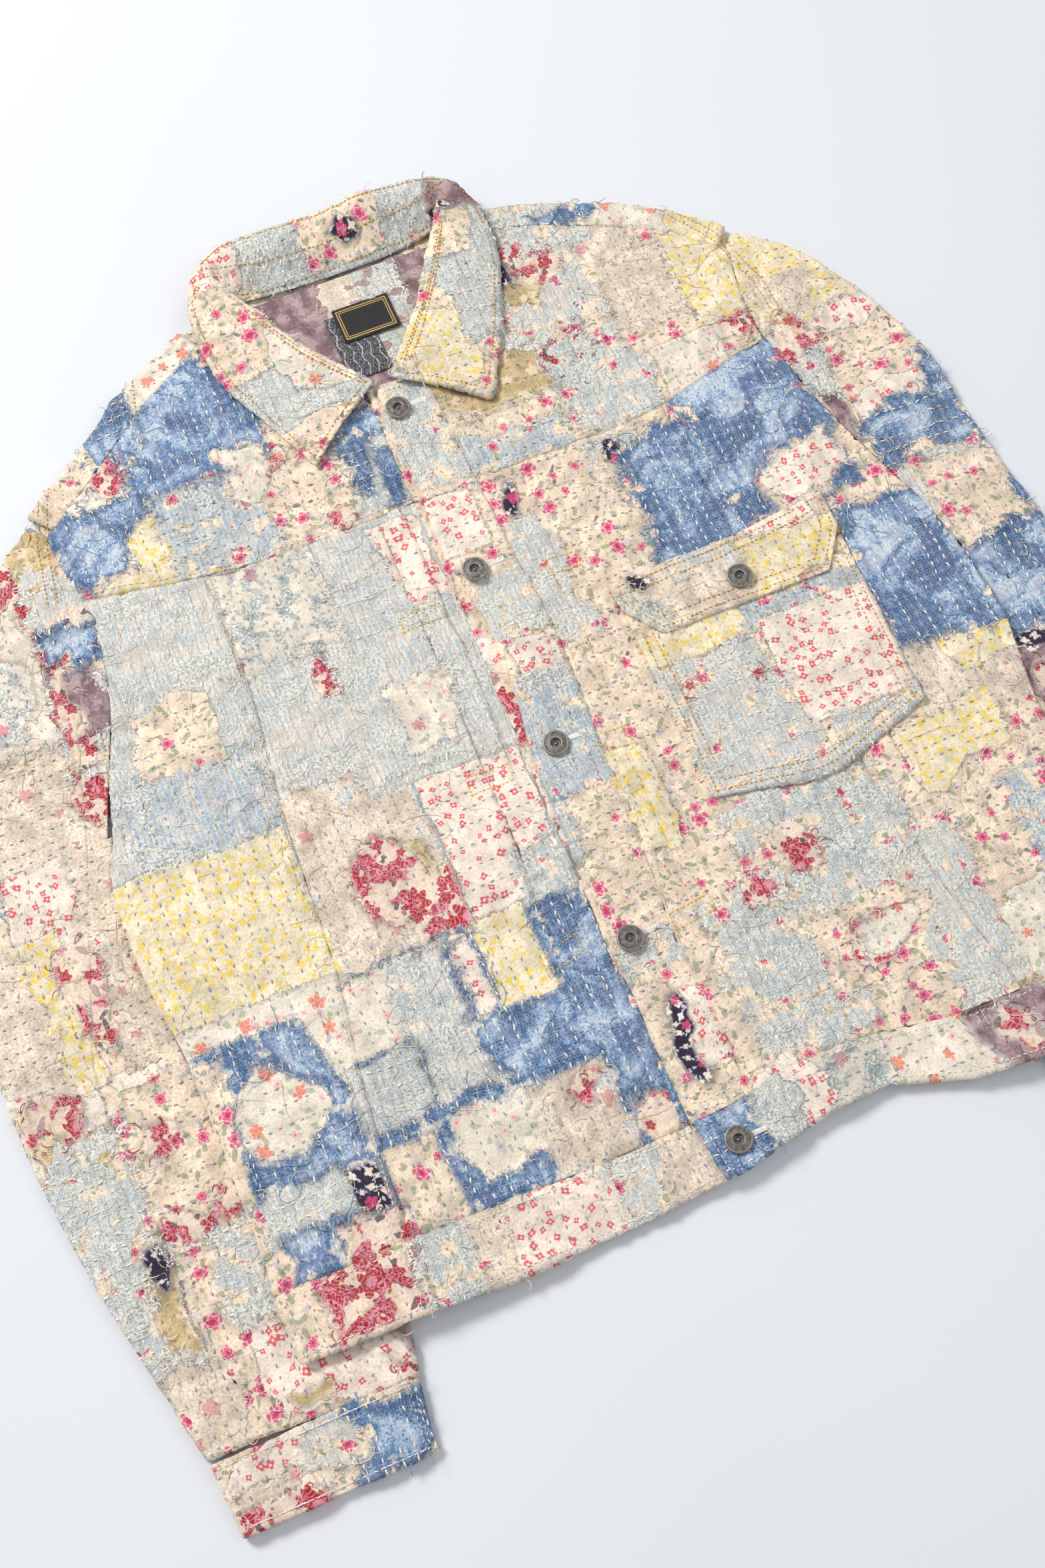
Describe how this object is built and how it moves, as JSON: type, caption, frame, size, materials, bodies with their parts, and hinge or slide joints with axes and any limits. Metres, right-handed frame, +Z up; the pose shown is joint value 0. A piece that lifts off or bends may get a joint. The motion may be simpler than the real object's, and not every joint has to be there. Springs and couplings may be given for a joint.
{
  "type": "patched boro jacket laid flat",
  "caption": "Buttoned patched boro jacket with collar, chest pocket, waistband and cuffs, laid flat with its sleeves tucked beside the body.",
  "frame": {"origin": "on the table plane under the button line, half way between the first and the last button of the front", "axes": "+X to the wearer's left, +Y from the hem to the collar, +Z up from the table, out of the jacket's front"},
  "size_m": [0.7652, 0.7945, 0.0233],
  "materials": {
    "patched_cotton": "worn patched cotton, cream and mixed prints",
    "indigo_cotton": "faded indigo cotton with white running stitches",
    "grey_gauze": "thin grey-blue gauze over printed cotton",
    "rose_floral_cotton": "small rose prints on cream cotton",
    "mauve_lining": "mauve brown printed cotton",
    "woven_label": "black woven tape",
    "dark_metal": "dark, worn at the rim"
  },
  "bodies": {
    "root": {"back_panel": "patched_cotton", "front_right_side": "patched_cotton", "front_right_center": "patched_cotton", "front_left_center": "patched_cotton", "front_left_side": "patched_cotton", "front_yoke_right": "indigo_cotton", "front_yoke_left": "patched_cotton", "placket_left": "grey_gauze", "placket_right_under": "rose_floral_cotton", "sleeve_right_upper": "patched_cotton", "sleeve_right_under": "patched_cotton", "sleeve_left_upper": "patched_cotton", "sleeve_left_under": "patched_cotton", "cuff_right": "rose_floral_cotton", "cuff_left": "indigo_cotton", "waistband_right": "rose_floral_cotton", "waistband_left": "grey_gauze", "waistband_back": "patched_cotton", "back_neck_lining": "mauve_lining", "neck_strip": "woven_label", "neck_label": "woven_label", "collar": "grey_gauze", "chest_pocket": "grey_gauze", "chest_pocket_flap": "grey_gauze", "button_1": "dark_metal", "button_2": "dark_metal", "button_3": "dark_metal", "button_4": "dark_metal", "button_5": "dark_metal", "button_flap": "dark_metal"}
  },
  "joints": []
}
